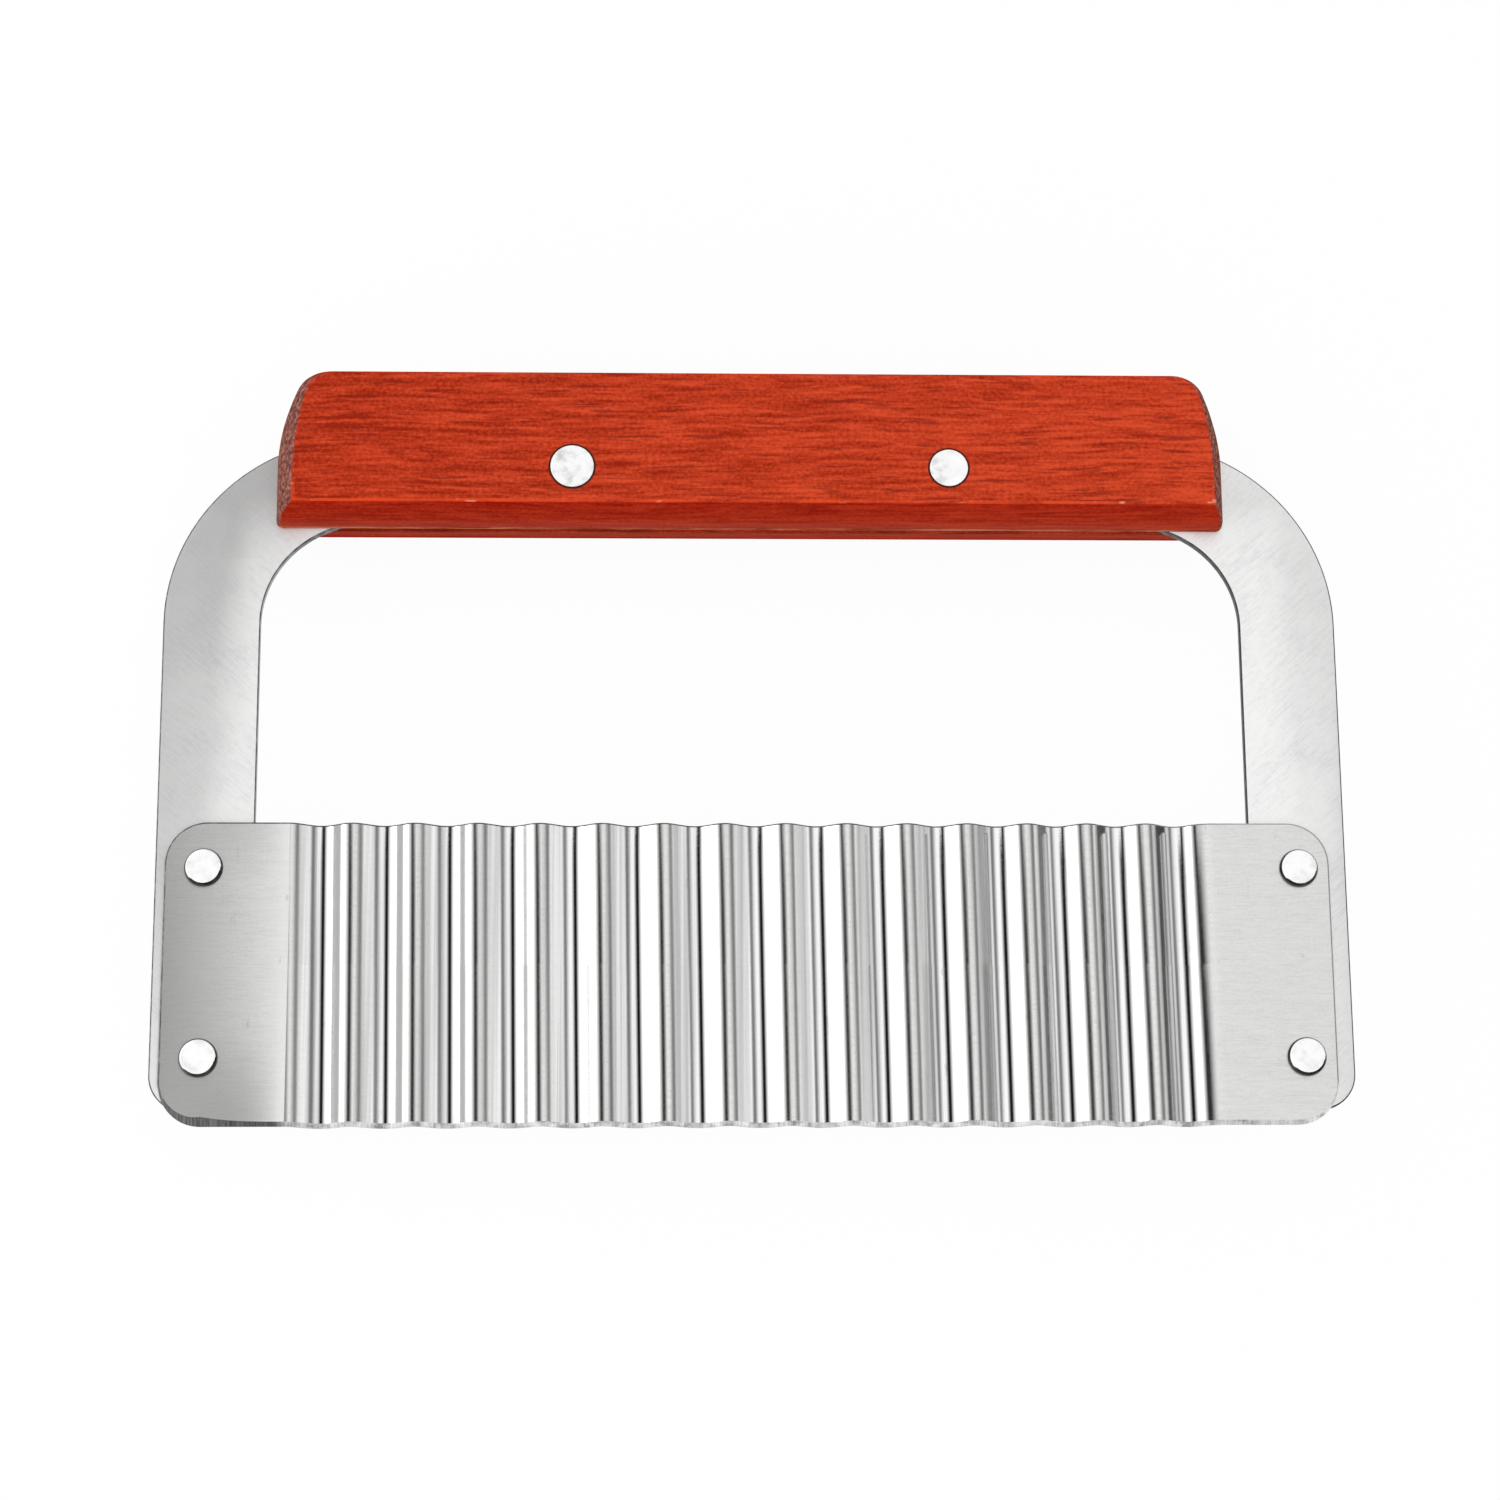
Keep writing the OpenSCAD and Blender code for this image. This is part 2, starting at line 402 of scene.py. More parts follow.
# Finishes
def slanted_brush_steel():
    """Flat faces of the arch, brushed on the slant from each side."""
    finish, tree, face = new_finish("slant_brushed_steel")
    place = piece_place(tree)
    parts = split(tree, place)
    folded = join(tree, unsigned(tree, parts["X"]), parts["Y"], parts["Z"])
    slant = stretch(tree, folded, (1, 1, 1), turn=(0, 0, -42))
    fine = cloud(tree, stretch(tree, slant, (330, 4600, 1)), 2.0)
    coarse = cloud(tree, stretch(tree, slant, (150, 1700, 1)), 3.0)
    grit = cloud(tree, stretch(tree, place, (1500, 1500, 1500)), 2.0)
    smudge = cloud(tree, stretch(tree, place, (110, 110, 110)), 5.0)
    lines = blend(tree, (fine, 0.48), (coarse, 0.27), (grit, 0.25))
    tone = blend(tree, (lines, 0.66), (smudge, 0.34))
    colour = ramp(tree, tone, (0.37, grey(0.80)), (0.5, (0.915, 0.915, 0.91)),
                  (0.64, (0.96, 0.96, 0.95)))
    left_leg = spread(tree, parts["X"], arch_low.x + warp_far, arch_low.x + warp_near)
    lower_part = spread(tree, parts["Y"], warp_top_y, arch_low.y, 0.0, 3.0)
    across = spread(tree, parts["X"], arch_low.x, arch_low.x + leg_w)
    warp = times(tree, across, plus(tree, times(tree, across, 0.35), -1.75))
    warp = times(tree, warp, times(tree, left_leg, lower_part))
    normal = relief(tree, lines, 0.02 * MM, 0.45, relief(tree, warp, 1.0 * MM))
    dress(tree, face, colour, spread(tree, lines, 0.35, 0.65, 0.40, 0.30), normal)
    face.inputs["Metallic"].default_value = 0.75
    return finish


def sheared_steel(name, painted_end_tone):
    """Torn edge of a cut sheet, dark partly as torn steel and partly as a painted dark reflection; its right
    end takes the painted tone given, and its right-facing sides a painted highlight.
    """
    finish, tree, face = new_finish(name)
    place = piece_place(tree)
    tear = cloud(tree, stretch(tree, place, (900, 900, 2600)), 4.0)
    colour = ramp(tree, tear, (0.3, (0.05, 0.05, 0.052)), (0.55, (0.16, 0.16, 0.165)),
                  (0.75, grey(0.34)))
    # Painted tone at the right end: painted shade on the arch's edges, painted light on the blade's.
    right_end = spread(tree, split(tree, place)["X"], painted_end_from, painted_end_full, 0.0, 0.7)
    colour = mix_colour(tree, right_end, colour, grey(painted_end_tone))
    # Painted highlight on the sides that face right.
    right_side = spread(tree, surface_lean(tree)["X"], 0.5, 0.95, 0.0, 0.8)
    colour = mix_colour(tree, right_side, colour, grey(0.5))
    normal = relief(tree, tear, 0.03 * MM, 0.5)
    dress(tree, face, colour, spread(tree, tear, 0.3, 0.7, 0.55, 0.35), normal)
    face.inputs["Metallic"].default_value = 1.0
    return finish


def blade_colour(tree, place, raised, tab, dish, lines):
    """Bright steel, brushed where it is raised, with painted dark reflection streaks on right flanks,
    painted shade at the ends of the left tab and a painted highlight at its bend.
    """
    parts = split(tree, place)
    brushed = ramp(tree, lines, (0.3, (0.68, 0.68, 0.67)), (0.5, (0.78, 0.78, 0.765)),
                   (0.7, (0.84, 0.84, 0.825)))
    bright = ramp(tree, lines, (0.3, grey(0.92)), (0.7, grey(0.97)))
    colour = mix_colour(tree, raised, bright, brushed)
    # Painted dark reflection streaks on the wave flanks that face right.
    streak = cloud(tree, stretch(tree, place, (1300, 9, 300)), 3.0)
    facing_right = spread(tree, surface_lean(tree)["X"], -0.15, 0.25)
    right_flank = times(tree, facing_right, sums(tree, "SUBTRACT", 1.0, tab))
    painted_streaks = times(tree, right_flank, spread(tree, streak, 0.38, 0.62, 0.66, 0.0))
    colour = mix_colour(tree, painted_streaks, colour, grey(0.48))
    # Painted shade towards the low and high ends of the left tab, growing along its dish.
    rest = sums(tree, "SUBTRACT", hollow_scale, times(tree, dish, hollow_scale))
    hollow = times(tree, sums(tree, "POWER", dish, 2.0), rest)
    low_end = spread(tree, parts["Y"], blade_low.y + low_shade_from, blade_low.y + low_shade_full, 0.0, 0.28)
    high_end = spread(tree, parts["Y"], blade_high.y - high_shade_from, blade_high.y - high_shade_full,
                      0.0, 0.17)
    painted_tab_shade = times(tree, hollow, plus(tree, low_end, high_end))
    colour = mix_colour(tree, painted_tab_shade, colour, grey(0.2))
    # Painted highlight where the left tab bends into the first wave.
    left_tab = spread(tree, parts["X"], first_wave_x + painted_bend_highlight_blur, first_wave_x - painted_bend_highlight_blur)
    painted_bend_highlight = times(tree, left_tab, sums(tree, "POWER", dish, 10.0))
    colour = mix_colour(tree, painted_bend_highlight, colour, (0.93, 0.93, 0.915))
    scratch = cloud(tree, stretch(tree, place, (520, 190, 190), turn=(0, 0, 34)), 5.0)
    marks = times(tree, spread(tree, scratch, 0.68, 0.74), 0.5)
    return mix_colour(tree, marks, colour, (0.45, 0.45, 0.46))


def tab_bow(tree, height, dish):
    """Bow of the left tab: it falls towards the first wave, less at the low end and sharply at the wave."""
    bow = times(tree, dish, plus(tree, times(tree, dish, -1.35), -0.386))
    bow = times(tree, bow, spread(tree, height, dish_top_y, blade_low.y, 1.0, 0.5))
    return plus(tree, bow, times(tree, sums(tree, "POWER", dish, 6.0), -0.42))


def polished_wave_steel():
    """Mirror bright in the hollows, brushed on the tabs and, less so, on the crests."""
    finish, tree, face = new_finish("polished_blade_steel")
    place = piece_place(tree)
    parts = split(tree, place)
    raised = spread(tree, parts["Z"], blade_high.z - crest_from, blade_high.z - crest_full)
    from_middle = unsigned(tree, sums(tree, "SUBTRACT", parts["X"], wave_mid))
    tab = spread(tree, from_middle, wave_reach + tab_from, wave_reach + tab_full)
    dish = spread(tree, parts["X"], blade_low.x, first_wave_x)
    fine = cloud(tree, stretch(tree, place, (380, 5200, 380)), 2.0)
    coarse = cloud(tree, stretch(tree, place, (120, 1600, 120)), 3.0)
    grit = cloud(tree, stretch(tree, place, (2400, 2400, 2400)), 2.0)
    lines = blend(tree, (fine, 0.45), (coarse, 0.20), (grit, 0.35))
    colour = blade_colour(tree, place, raised, tab, dish, lines)
    rough = blend(tree, (raised, 0.09), (tab, 0.18))
    rough = plus(tree, rough, spread(tree, lines, 0.35, 0.65, 0.10, 0.05))
    bow = tab_bow(tree, parts["Y"], dish)
    dress(tree, face, colour, rough, relief(tree, lines, 0.01 * MM, 0.25, relief(tree, bow, 1.0 * MM)))
    face.inputs["Metallic"].default_value = 1.0
    return finish


def ground_steel():
    """Ground cutting edge, nicked along the waves, with a painted dark reflection in the left wedge."""
    finish, tree, face = new_finish("ground_edge_steel")
    place = piece_place(tree)
    grind = cloud(tree, stretch(tree, place, (5200, 260, 260)), 3.0)
    nicks = cloud(tree, stretch(tree, place, (620, 900, 500)), 4.0)
    colour = ramp(tree, blend(tree, (grind, 0.4), (nicks, 0.6)),
                  (0.38, (0.34, 0.34, 0.35)), (0.5, grey(0.66)), (0.62, grey(0.90)))
    # Painted dark reflection in the left wedge of the ground edge.
    left_wedge = spread(tree, split(tree, place)["X"], first_wave_x + painted_wedge_dark_from, first_wave_x + painted_wedge_dark_full)
    painted_wedge_dark = ramp(tree, grind, (0.35, grey(0.05)), (0.65, grey(0.17)))
    colour = mix_colour(tree, left_wedge, colour, painted_wedge_dark)
    normal = relief(tree, grind, 0.02 * MM, 0.4)
    dress(tree, face, colour, spread(tree, grind, 0.3, 0.7, 0.42, 0.28), normal)
    face.inputs["Metallic"].default_value = 0.45
    return finish


def swayed_grain(tree, place):
    """Place along the grain, which drifts a little up and down the handle."""
    drift = cloud(tree, stretch(tree, place, (22, 50, 50)), 2.0)
    lift = times(tree, drift, grain_sway)
    return vector_sums(tree, "ADD", place, join(tree, 0.0, lift, lift))[0]


def painted_rim_shade_and_end_grain(tree, stained, place):
    """Painted shade on the rim, paler and pinker near upright as a painted sheen, painted shade on the
    underside, and open grain on the two ends.
    """
    lean = surface_lean(tree)
    upright = unsigned(tree, lean["Z"])
    # Painted shade on the rim faces, paler and pinker near upright as a painted sheen.
    rim = spread(tree, upright, 0.75, 0.45, 0.0, 0.55)
    painted_rim_shade = ramp(tree, upright, (0.0, (0.19, 0.055, 0.043)), (0.05, (0.40, 0.066, 0.048)),
                (0.18, (0.255, 0.012, 0.006)), (0.36, (0.26, 0.0, 0.0)))
    stained = mix_colour(tree, rim, stained, painted_rim_shade)
    # Painted shade on the underside.
    underside = spread(tree, lean["Y"], -0.991, -0.999, 0.0, 0.38)
    stained = mix_colour(tree, underside, stained, (0.10, 0.03, 0.022))
    across = spread(tree, unsigned(tree, lean["X"]), 0.30, 0.75)
    specks = cloud(tree, stretch(tree, place, (900, 1600, 1600)), 3.0)
    cut_grain = ramp(tree, specks, (0.35, (0.080, 0.030, 0.024)), (0.55, (0.24, 0.088, 0.068)),
                     (0.70, (0.44, 0.195, 0.165)))
    return mix_colour(tree, across, stained, cut_grain)


def rivet_rings(tree, stained, parts):
    """Dark rings in the wood round the rivets' ends."""
    flat = join(tree, parts["X"], parts["Y"], 0.0)
    for node in handle_rivet_nodes:
        low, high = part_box(node)
        middle, end_r = (low + high) / 2, (high.x - low.x) / 2
        away = vector_sums(tree, "DISTANCE", flat, (middle.x, middle.y, 0))["Value"]
        ring = spread(tree, away, end_r + ring_from, end_r + ring_full)
        stained = mix_colour(tree, ring, stained, (0.045, 0.012, 0.009))
    return stained


def chipped_stain(tree, stained, place, height):
    """Wear and chips along the lower crease."""
    chips = cloud(tree, stretch(tree, place, (330, 900, 900)), 4.0, 0.6)
    wear = cloud(tree, stretch(tree, place, (110, 400, 400), shift=(2, 9, 4)), 3.0)
    under = spread(tree, height, handle_low.y + chip_from, handle_low.y + chip_full)
    worn = times(tree, under, spread(tree, wear, 0.42, 0.62, 0.0, 0.7))
    stained = mix_colour(tree, worn, stained, (0.80, 0.072, 0.018))
    chipped_off = times(tree, under, spread(tree, chips, 0.61, 0.68))
    return mix_colour(tree, chipped_off, stained, (0.78, 0.25, 0.17))


def red_wood(name, chipped):
    """Red stained wood with streaked grain and dark pores."""
    finish, tree, face = new_finish(name)
    place = piece_place(tree)
    parts = split(tree, place)
    along = swayed_grain(tree, place)
    streaks = cloud(tree, stretch(tree, along, (75, 1250, 1250)), 3.0)
    fibre = cloud(tree, stretch(tree, along, (170, 1500, 1500), shift=(11, 3, 5)), 2.0)
    stipple = cloud(tree, stretch(tree, place, (1700, 1900, 1900)), 2.0)
    pores = cloud(tree, stretch(tree, along, (125, 1700, 1700), shift=(3, 5, 7)), 2.0, 0.5)
    lighter_right = spread(tree, parts["X"], handle_low.x, handle_high.x, -0.030, 0.042)
    tone = plus(tree, blend(tree, (streaks, 0.38), (fibre, 0.30), (stipple, 0.32)), lighter_right)
    colour = ramp(tree, tone, (0.39, (0.29, 0.018, 0.0055)), (0.50, (0.475, 0.041, 0.0140)),
                  (0.61, (0.66, 0.070, 0.0245)))
    pits = spread(tree, pores, 0.59, 0.68, 0.0, 0.65)
    stained = mix_colour(tree, pits, colour, (0.20, 0.018, 0.011))
    stained = rivet_rings(tree, painted_rim_shade_and_end_grain(tree, stained, place), parts)
    if chipped:
        stained = chipped_stain(tree, stained, place, parts["Y"])
    bumps = sums(tree, "SUBTRACT", times(tree, fibre, 0.4), pits)
    rough = spread(tree, fibre, 0.3, 0.7, 0.34, 0.46)
    dress(tree, face, stained, rough, relief(tree, bumps, 0.05 * MM, 0.3))
    face.inputs["Specular IOR Level"].default_value = 0.0
    return finish


def bare_wood():
    """Rubbed lip of the slot, where the stain is worn thin."""
    finish, tree, face = new_finish("bare_wood_lip")
    rub = cloud(tree, stretch(tree, piece_place(tree), (160, 900, 900)), 3.0)
    colour = ramp(tree, rub, (0.36, (0.24, 0.030, 0.014)), (0.50, (0.40, 0.085, 0.042)),
                  (0.66, (0.52, 0.17, 0.095)))
    dress(tree, face, colour, spread(tree, rub, 0.3, 0.7, 0.75, 0.55), relief(tree, rub, 0.04 * MM, 0.4))
    face.inputs["Specular IOR Level"].default_value = 0.0
    return finish


def hammered_aluminium(name, dull, fair):
    finish, tree, face = new_finish(name)
    place = piece_place(tree)
    mottle = cloud(tree, stretch(tree, place, (900, 900, 900)), 4.0)
    dents = cloud(tree, stretch(tree, place, (420, 420, 420)), 2.0)
    both = blend(tree, (mottle, 0.4), (dents, 0.6))
    colour = ramp(tree, both, (0.32, grey(dull)), (0.5, grey(fair)), (0.7, (0.99, 0.99, 0.985)))
    rough = spread(tree, mottle, 0.3, 0.7, 0.55, 0.42)
    dress(tree, face, colour, rough, relief(tree, both, 0.06 * MM, 0.35))
    face.inputs["Metallic"].default_value = 0.1
    return finish


def painted_shade_rivet_side():
    # Near-black sides of a blade rivet's head: painted dark reflection and shade.
    finish, tree, face = new_finish("rivet_side_painted_shade")
    rub = cloud(tree, stretch(tree, piece_place(tree), (260, 260, 900)), 3.0)
    colour = ramp(tree, rub, (0.38, grey(0.02)), (0.62, grey(0.10)))
    dress(tree, face, colour, spread(tree, rub, 0.3, 0.7, 0.22, 0.12), relief(tree, rub, 0.02 * MM, 0.2))
    face.inputs["Metallic"].default_value = 1.0
    return finish


def ring_stain():
    """Dark stain in the fine gap between the wood and a rivet's end."""
    finish, tree, face = new_finish("dark_ring_stain")
    blot = cloud(tree, stretch(tree, piece_place(tree), (600, 600, 600)), 3.0)
    colour = ramp(tree, blot, (0.35, (0.035, 0.010, 0.007)), (0.65, (0.13, 0.045, 0.030)))
    dress(tree, face, colour, spread(tree, blot, 0.3, 0.7, 0.8, 0.6), relief(tree, blot, 0.03 * MM, 0.4))
    face.inputs["Specular IOR Level"].default_value = 0.1
    return finish


# Pieces
def steel_arch(face_finish, edge_finish):
    """Half an outline, mirrored and thickened, with broken edges."""
    bm = bmesh.new()
    up = (0, 0, 1)
    half, inner = arch_high.x, arch_high.x - leg_w
    top, under, foot = arch_high.y, arch_high.y - bar_h, arch_low.y
    z = arch_low.z
    tip = draw_from(bm, (0, top, z))
    tip = draw_to(bm, tip, (half - arch_outer_r, top, z))
    tip = draw_round(bm, tip, (half - arch_outer_r, top - arch_outer_r, z), up, -90, arch_outer_steps)
    tip = draw_to(bm, tip, (half, foot + leg_end_r, z))
    tip = draw_round(bm, tip, (half - leg_end_r, foot + leg_end_r, z), up, -90, leg_end_steps)
    tip = draw_to(bm, tip, (inner, foot, z))
    tip = draw_to(bm, tip, (inner, under - arch_inner_r, z))
    tip = draw_round(bm, tip, (inner - arch_inner_r, under - arch_inner_r, z), up, 90, arch_inner_steps)
    draw_to(bm, tip, (0, under, z))
    bmesh.ops.mirror(bm, geom=bm.verts[:] + bm.edges[:], matrix=Matrix.Identity(4),
                     merge_dist=weld_gap, axis="X")
    bmesh.ops.remove_doubles(bm, verts=bm.verts[:], dist=same_place)
    bmesh.ops.contextual_create(bm, geom=bm.edges[:])
    thicken(bm, arch_high.z - arch_low.z)
    rims = [e for e in bm.edges if abs(e.verts[0].co.z - e.verts[1].co.z) < same_place]
    bmesh.ops.bevel(bm, geom=rims, offset=arch_edge_r, offset_type="OFFSET", affect="EDGES",
                    segments=arch_edge_steps, profile=0.5, material=-1)
    for face in bm.faces:
        face.smooth = abs(face.normal.z) < arch_flat_lean
        face.material_index = 1 if abs(face.normal.z) < arch_edge_lean else 0
    return finish_piece("steel_arch", bm, [face_finish, edge_finish], "frame")


def wave_dip(x):
    """Depth of the waves at a place along the blade: right flanks are straight, left ones round."""
    along = (x - wave_mid) / wave_reach
    creep = wave_creep * (1 - along * along)
    turn = 2 * math.pi * (x - first_wave_x - creep) / wave_pitch % (2 * math.pi)
    bend = math.asin(flank_slope * wave_pitch / (math.pi * wave_depth))
    bend_dip = wave_depth / 2 * (1 - math.cos(bend))
    flank_run = wave_pitch / (2 * math.pi) * flank_slope
    full_dip = 2 * bend_dip + flank_run * (math.pi - 2 * bend)
    if turn <= bend:
        return wave_depth / 2 * (1 - math.cos(turn))
    if turn <= math.pi - bend:
        return bend_dip + flank_run * (turn - bend)
    if turn <= math.pi:
        return full_dip - wave_depth / 2 * (1 + math.cos(turn))
    return full_dip / 2 * (1 - math.cos(turn))


def wave_front(x):
    """Height of the sheet's front; the last flank runs out slowly into the right tab."""
    last_flank = wave_mid + wave_reach - wave_pitch / 4
    run = wave_pitch / 4 + wave_run_out
    t = (x - last_flank) / run
    if x <= first_wave_x or t >= 1:
        return blade_high.z
    if t <= 0:
        return blade_high.z - wave_dip(x)
    step = 0.01 * MM
    slope = (wave_dip(last_flank + step) - wave_dip(last_flank - step)) / (2 * step)
    fade = (1 - t) ** 2
    return blade_high.z - fade * ((1 + 2 * t) * wave_dip(last_flank) + t * run * slope)


def ground_height(x):
    """Height of the ground edge, which widens to a wedge at the left corner."""
    share = (first_wave_x - x) / ground_wedge_l
    return ground_h + ground_wedge_h * min(max(share, 0.0), 1.0) ** 3


def corner_column(turn, side):
    """Four points of a column through two rounded corners, from the cutting edge up."""
    mid_x = blade_low.x + blade_corner_r if side < 0 else blade_high.x - blade_corner_r
    along, up = side * math.cos(turn), math.sin(turn)
    ground = burr_w + (ground_height(mid_x) - burr_w) * turn / (math.pi / 2)
    low_y, high_y = blade_low.y + blade_corner_r, blade_high.y - blade_corner_r
    r = blade_corner_r
    return [(mid_x + r * along, low_y - r * up),
            (mid_x + (r - ground) * along, low_y - (r - ground) * up),
            (mid_x + (r - burr_w) * along, high_y + (r - burr_w) * up),
            (mid_x + r * along, high_y + r * up)]


def straight_column(x, skew):
    middle = (blade_low.y + blade_high.y) / 2
    heights = (blade_low.y + skew_room, blade_low.y + ground_height(x), blade_high.y - burr_w, blade_high.y)
    return [(x + skew * (middle - y), y) for y in heights]


def blade_columns():
    """Columns of the sheet from the left end to the right one, with the front's height at each."""
    turns = [math.pi / 2 * step / corner_steps for step in range(corner_steps + 1)]
    columns = [(corner_column(turn, -1), blade_high.z) for turn in turns]
    tab_places = [blade_low.x + blade_corner_r + step * tab_step for step in range(1, tab_steps + 1)]
    columns += [(straight_column(x, 0.0), blade_high.z) for x in tab_places]
    gap = wave_pitch / wave_steps
    steps = wave_count * wave_steps + math.ceil(wave_run_out / gap)
    places = [first_wave_x + step * gap for step in range(steps + 1)]
    columns += [(straight_column(x, wave_skew), wave_front(x)) for x in places]
    return columns + [(corner_column(turn, 1), blade_high.z) for turn in reversed(turns)]


def crinkle_blade(face_finish, edge_finish, ground_finish):
    """A grid bent to the blade's columns, thickened, then ground and burred along its edges."""
    bm = bmesh.new()
    columns = blade_columns()
    last, rows = len(columns) - 1, 3
    bmesh.ops.create_grid(bm, x_segments=last, y_segments=rows, size=1)
    ends = {0: [], last: []}
    ground_row, burr_row = [], []
    for vert in bm.verts:
        column = round((vert.co.x + 1) / 2 * last)
        row = round((vert.co.y + 1) / 2 * rows)
        points, z = columns[column]
        vert.co = (*points[row], z)
        if column in ends:
            ends[column].append(vert)
        if row == 0:
            ground_row.append(vert)
        elif row == rows:
            burr_row.append(vert)
    for strip in ends.values():
        bmesh.ops.contextual_create(bm, geom=strip)
    bmesh.ops.recalc_face_normals(bm, faces=bm.faces[:])
    if bm.faces[0].normal.z < 0:
        bmesh.ops.reverse_faces(bm, faces=bm.faces[:])
    fronts = set(bm.faces)
    lifts = {vert: vert.normal * Vector((1, 0, 1)) for vert in ground_row + burr_row}
    bmesh.ops.solidify(bm, geom=bm.faces[:], thickness=blade_t)
    tips = set(ends[0][:1] + ends[last][:1])
    for vert in ground_row:
        vert.co -= lifts[vert] * (burr_drop if vert in tips else blade_t - ground_t)
    for vert in burr_row:
        vert.co -= lifts[vert] * burr_drop
    ground, rim = set(ground_row), set(ground_row + burr_row)
    for face in bm.faces:
        face.smooth = True
        if face not in fronts:
            face.material_index = 1 if abs(face.normal.z) < blade_side_lean else 0
        elif sum(v in ground for v in face.verts) == 2:
            face.material_index = 2
        elif sum(v in rim for v in face.verts) == 2:
            face.material_index = 1
    return finish_piece("crinkle_blade_sheet", bm, [face_finish, edge_finish, ground_finish],
                        "crinkle_blade", sharp_degrees=12)


def rim_profile():
    """The handle's rounded rim from the back face to the front one, as (inset, height) points."""
    half_t = (handle_high.z - handle_low.z) / 2
    rim_r = (half_t ** 2 + rim_drop ** 2) / (2 * rim_drop)
    reach = half_t - crease_r
    rim = []
    for step in range(rim_steps + 1):
        height = reach * (2 * step / rim_steps - 1)
        rim.append((rim_r - math.sqrt(rim_r ** 2 - height ** 2), height + half_t))
    inset = rim[-1][0]
    soft = []
    for step in range(1, crease_steps + 1):
        t = step / crease_steps
        soft.append(((1 - t) ** 2 * inset + 2 * t * (1 - t) * rim_drop + t * t * (rim_drop + crease_r),
                     2 * half_t - crease_r * (1 - t) ** 2))
    back = [(inward, 2 * half_t - height) for inward, height in reversed(soft)]
    return [(inward, handle_low.z + height) for inward, height in back + rim + soft]


def handle_ring(bm, inset, z):
    """One closed outline of the handle, drawn as its right half and mirrored."""
    before = set(bm.verts)
    up = (0, 0, 1)
    share = inset / rim_drop
    half, low, top = handle_high.x - end_slope * inset, handle_low.y + inset, handle_high.y - inset
    r = max(handle_corner_r - inset, tight_corner_r)
    bend = shoulder_r + share * (face_shoulder_r - shoulder_r)
    soft = top_corner_r + share * (face_corner_r - top_corner_r)
    mid_x, mid_y = half - bend, handle_low.y + shoulder_y + share * (face_shoulder_y - shoulder_y)
    soft_y = top - soft
    soft_x = mid_x + math.sqrt((bend - soft) ** 2 - (soft_y - mid_y) ** 2)
    sweep = math.degrees(math.atan2(soft_y - mid_y, soft_x - mid_x))
    tip = draw_from(bm, (0, low, z))
    tip = draw_to(bm, tip, (half - r, low, z))
    tip = draw_round(bm, tip, (half - r, low + r, z), up, 90, handle_corner_steps)
    tip = draw_to(bm, tip, (half, mid_y, z))
    tip = draw_round(bm, tip, (mid_x, mid_y, z), up, sweep, shoulder_steps)
    tip = draw_round(bm, tip, (soft_x, soft_y, z), up, 90 - sweep, top_corner_steps)
    draw_to(bm, tip, (0, top, z))
    drawn = [v for v in bm.verts if v not in before]
    lines = list({e for v in drawn for e in v.link_edges})
    bmesh.ops.mirror(bm, geom=drawn + lines, matrix=Matrix.Identity(4), merge_dist=weld_gap, axis="X")
    bmesh.ops.remove_doubles(bm, verts=[v for v in bm.verts if v not in before], dist=same_place)
    ring = [v for v in bm.verts if v not in before]
    bmesh.ops.translate(bm, verts=ring, vec=(face_shift * share, 0, 0))
    return list({e for v in ring for e in v.link_edges})


def wooden_handle(wood, worn_wood, lip_wood):
    """Outlines from back to front, bridged and capped, with the slot cut from below."""
    bm = bmesh.new()
    rings = [handle_ring(bm, inset, z) for inset, z in rim_profile()]
    bmesh.ops.contextual_create(bm, geom=rings[0])
    bmesh.ops.contextual_create(bm, geom=rings[-1])
    for lower, upper in zip(rings, rings[1:]):
        bmesh.ops.bridge_loops(bm, edges=lower + upper)
    bmesh.ops.recalc_face_normals(bm, faces=bm.faces[:])
    for face in bm.faces:
        middle = face.calc_center_median().z
        face.smooth = abs(face.normal.z) < handle_flat_lean
        crease = min(middle - handle_low.z, handle_high.z - middle) < soft_band and face.smooth
        face.material_index = 1 if crease else 0
    cut_slot(bm)
    roof_z = arch_high.z + slot_clear
    lip_z = roof_z + lip_h
    cut_at(bm, everything(bm), (0, 0, lip_z), (0, 0, 1))
    for face in bm.faces:
        if roof_z < face.calc_center_median().z < lip_z and face.normal.y < -lip_lean:
            face.material_index = 2
    return finish_piece("wooden_handle", bm, [wood, worn_wood, lip_wood], "handle",
                        sharp_degrees=40)


